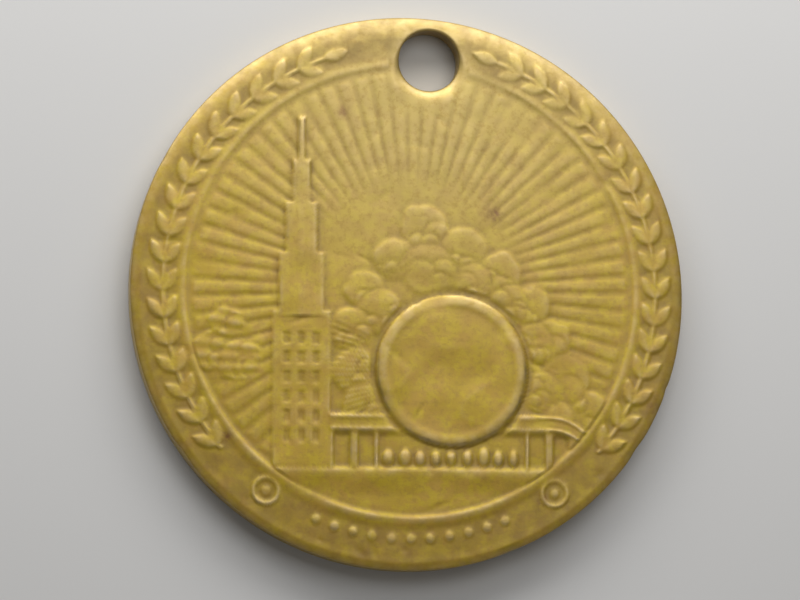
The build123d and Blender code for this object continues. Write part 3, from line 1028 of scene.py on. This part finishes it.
brass = {
    "olive": (0.455, 0.307, 0.018),
    "pinkish": (0.475, 0.3, 0.036),
    "greenish": (0.51, 0.37, 0.014),
    "brown": (0.36, 0.225, 0.028),
    # dirt in the hollows, and painted shade inside the hole and down its round
    "dirtAndShade": (0.26, 0.165, 0.03),
    "stain": (0.2, 0.085, 0.025),
    "pale": (0.51, 0.385, 0.125),  # painted sheen: a paler, bluer tone laid on the top of the token around the hole, where the lamps light it most
    # rubbed high places, and a painted highlight on the lip of the hole and the top of its round
    "brightAndHighlight": (0.57, 0.42, 0.19),
    "paleShare": 0.76,
    "dirtRoughness": 0.25,  # added where there is dirt, and where shade is painted in the hole
    "brightRoughness": 0.12,  # taken away where it is rubbed bright, and where a highlight is painted around the hole
    "film": 0.75,  # a thin waxy layer that lightens the metal towards the lamps
    "filmRoughness": 0.34,
}
patterns = {  # patches to the millimetre, detail, roughness, the noise at both its ends, and its range
    "pinkish": (0.55, 5.0, 0.62, (0.42, 0.6), (0.0, 1.0)),
    "greenish": (1.5, 4.0, 0.6, (0.46, 0.6), (0.0, 0.8)),
    "brown": (3.4, 4.0, 0.65, (0.5, 0.66), (0.0, 0.52)),
    "dirtAndShade": (1.4, 3.0, 0.55, (0.3, 0.6), (0.35, 0.8)),
    "stain": (3.0, 4.0, 0.55, (0.35, 0.6), (0.2, 0.9)),
    "brightAndHighlight": (1.9, 3.0, 0.55, (0.35, 0.6), (0.3, 0.85)),
    "dullness": (1.1, 6.0, 0.65, (0.35, 0.65), (0.5, 0.66)),
}
scratches = {
    "grain": (7.0, 3.0, 0.7),  # patches to the millimetre, detail, roughness
    "grainShare": 0.6,
    "hairlines": (  # the same, then how they are stretched and turned, in radians
        (5.0, 2.0, 0.5, (1.0, 0.03, 1.0), 0.6),
        (4.0, 2.0, 0.5, (0.04, 1.0, 1.0), 0.25),
    ),
    "hairlineShare": 0.35,
    "strength": 0.35,
    "depth": 0.02,
}


def brassFinish():
    # bare metal under a thin film: patches of tone, a painted sheen on the top, dirt and painted shade,
    # stains, and rubbed places and painted highlights laid over each other, where a patch is a noise on the
    # token's own coordinates times a share stored in the mesh
    material = bpy.data.materials.new("wornBrass")
    material.use_nodes = True
    nodes, links = material.node_tree.nodes, material.node_tree.links
    shader = nodes["Principled BSDF"]
    place = nodes.new("ShaderNodeTexCoord")

    def noise(scale, detail, roughness, stretch=None, turn=0.0):
        vector = place.outputs["Object"]
        if stretch:
            mapping = nodes.new("ShaderNodeMapping")
            mapping.inputs["Scale"].default_value = stretch
            mapping.inputs["Rotation"].default_value = (0.0, 0.0, turn)
            links.new(vector, mapping.inputs["Vector"])
            vector = mapping.outputs["Vector"]
        texture = nodes.new("ShaderNodeTexNoise")
        texture.inputs["Scale"].default_value = scale / mm
        texture.inputs["Detail"].default_value = detail
        texture.inputs["Roughness"].default_value = roughness
        links.new(vector, texture.inputs["Vector"])
        return texture.outputs["Fac"]

    def pattern(name):
        # a noise, spread evenly from its start and end to its range
        scale, detail, roughness, noiseEnds, ends = patterns[name]
        ramp = nodes.new("ShaderNodeMapRange")
        for socket, value in zip(("From Min", "From Max", "To Min", "To Max"), noiseEnds + ends):
            ramp.inputs[socket].default_value = value
        links.new(noise(scale, detail, roughness), ramp.inputs["Value"])
        return ramp.outputs["Result"]

    def blend(share, first, second):
        mix = nodes.new("ShaderNodeMix")
        mix.data_type = "RGBA"
        links.new(share, mix.inputs["Factor"])
        for socket, value in ((mix.inputs["A"], first), (mix.inputs["B"], second)):
            if isinstance(value, tuple):
                socket.default_value = (*value, 1.0)
            else:
                links.new(value, socket)
        return mix.outputs["Result"]

    def sums(kind, first, second):
        node = nodes.new("ShaderNodeMath")
        node.operation = kind
        for socket, value in zip(node.inputs, (first, second)):
            if isinstance(value, float):
                socket.default_value = value
            else:
                links.new(value, socket)
        return node.outputs["Value"]

    def attribute(name):
        node = nodes.new("ShaderNodeAttribute")
        node.attribute_name = name
        return node.outputs["Fac"]

    # colours, one over the other
    # the dark layer is dirt in the hollows and painted shade in the hole; the bright layer is wear and a
    # painted highlight around the hole
    grimeAndShade = sums("MULTIPLY", attribute("hollow"), pattern("dirtAndShade"))
    rubbedAndHighlit = sums("MULTIPLY", attribute("wornAndHighlit"), pattern("brightAndHighlight"))
    layers = {
        "pinkish": pattern("pinkish"),
        "greenish": pattern("greenish"),
        # painted sheen: the top of the token, around the hole, is made paler
        "pale": sums("MULTIPLY", attribute("paintedSheenFalloff"), brass["paleShare"]),
        "brown": pattern("brown"),
        "dirtAndShade": grimeAndShade,
        "stain": sums("MULTIPLY", attribute("stain"), pattern("stain")),
        "brightAndHighlight": rubbedAndHighlit,
    }
    colour = brass["olive"]
    for name, share in layers.items():
        colour = blend(share, colour, brass[name])
    links.new(colour, shader.inputs["Base Color"])
    shader.inputs["Metallic"].default_value = 1.0
    shader.inputs["Coat Weight"].default_value = brass["film"]
    shader.inputs["Coat Roughness"].default_value = brass["filmRoughness"]

    # dull in dirt and in the painted shade of the hole, glossier where it is rubbed and where a highlight is
    # painted
    dull = sums("ADD", pattern("dullness"), sums("MULTIPLY", grimeAndShade, brass["dirtRoughness"]))
    dull = sums("SUBTRACT", dull, sums("MULTIPLY", rubbedAndHighlit, brass["brightRoughness"]))
    links.new(dull, shader.inputs["Roughness"])

    # fine grain and hairlines
    grain = sums("MULTIPLY", noise(*scratches["grain"]), scratches["grainShare"])
    hairlines = sums("ADD", *[noise(*lines) for lines in scratches["hairlines"]])
    surface = sums("ADD", grain, sums("MULTIPLY", hairlines, scratches["hairlineShare"]))
    bump = nodes.new("ShaderNodeBump")
    bump.inputs["Strength"].default_value = scratches["strength"]
    bump.inputs["Distance"].default_value = scratches["depth"] * mm
    links.new(surface, bump.inputs["Height"])
    links.new(bump.outputs["Normal"], shader.inputs["Normal"])
    return material


tokenMesh.materials.append(brassFinish())
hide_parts("token")
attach(token, "root")
print("brass finished")


# Table, light and camera

studio = {
    "floorSize": 600.0,
    "floorColour": (0.6, 0.593, 0.58),
    "floorRoughness": 0.9,
    "lamps": {  # place, width and height, power in watts
        "northLight": ((-6.0, 104.0, 60.0), (220.0, 60.0), 0.24),
        "overheadLight": ((18.0, 42.0, 110.0), (90.0, 70.0), 0.042),
        "southLight": ((10.0, -110.0, 70.0), (220.0, 70.0), 0.016),
    },
    "world": 0.085,
}


def areaLight(name, place, size, power):
    # a soft rectangular light aimed at the middle of the token
    light = bpy.data.lights.new(name, "AREA")
    light.shape = "RECTANGLE"
    light.size = size[0] * mm
    light.size_y = size[1] * mm
    light.energy = power
    lamp = bpy.data.objects.new(name, light)
    lamp.location = Vector(place) * mm
    lamp.rotation_mode = "QUATERNION"
    lamp.rotation_quaternion = (-lamp.location).to_track_quat("-Z", "Y")
    bpy.context.scene.collection.objects.link(lamp)


def makeFloor():
    # a flat pale table under the token
    half = studio["floorSize"] / 2 * mm
    mesh = bpy.data.meshes.new("table")
    corners = [(-half, -half, 0), (half, -half, 0), (half, half, 0), (-half, half, 0)]
    mesh.from_pydata(corners, [], [(0, 1, 2, 3)])
    material = bpy.data.materials.new("paleTable")
    material.use_nodes = True
    shader = material.node_tree.nodes["Principled BSDF"]
    shader.inputs["Base Color"].default_value = (*studio["floorColour"], 1.0)
    shader.inputs["Roughness"].default_value = studio["floorRoughness"]
    mesh.materials.append(material)
    floor = bpy.data.objects.new("table", mesh)
    bpy.context.scene.collection.objects.link(floor)


def makeWorld():
    # an even white surround that fills the shadows
    world = bpy.data.worlds.new("studio")
    world.use_nodes = True
    background = world.node_tree.nodes["Background"]
    background.inputs["Color"].default_value = (1.0, 1.0, 1.0, 1.0)
    background.inputs["Strength"].default_value = studio["world"]
    bpy.context.scene.world = world


camera = {
    "lens": 200.0,
    "frameWidth": 40.99,  # how much of the table the view takes in, side to side
    "tilt": 10.6,  # degrees away from straight down
    "towards": 220.7,  # degrees from +X, the side that the camera leans to
    "aimX": -0.48,
    "aimY": -0.46,
}


def makeCamera():
    # looks at the aim from the distance at which the frame is as wide as the lens and sensor make it
    data = bpy.data.cameras.new("camera")
    data.lens = camera["lens"]
    data.clip_start = 1.0 * mm
    distance = camera["frameWidth"] * camera["lens"] / data.sensor_width * mm
    tilt, towards = np.radians(camera["tilt"]), np.radians(camera["towards"])
    back = Vector((np.sin(tilt) * np.cos(towards), np.sin(tilt) * np.sin(towards), np.cos(tilt)))
    right = Vector((0.0, 1.0, 0.0)).cross(back).normalized()
    up = back.cross(right)
    aim = Vector((camera["aimX"], camera["aimY"], blank["thickness"])) * mm
    eye = bpy.data.objects.new("camera", data)
    turned = Matrix((right, up, back)).transposed().to_4x4()
    eye.matrix_world = Matrix.Translation(aim + back * distance) @ turned
    bpy.context.scene.collection.objects.link(eye)
    bpy.context.scene.camera = eye


makeFloor()
makeWorld()
for lampName, lampValues in studio["lamps"].items():
    areaLight(lampName, *lampValues)
makeCamera()
bpy.context.scene.view_settings.view_transform = "Standard"
print("studio set")
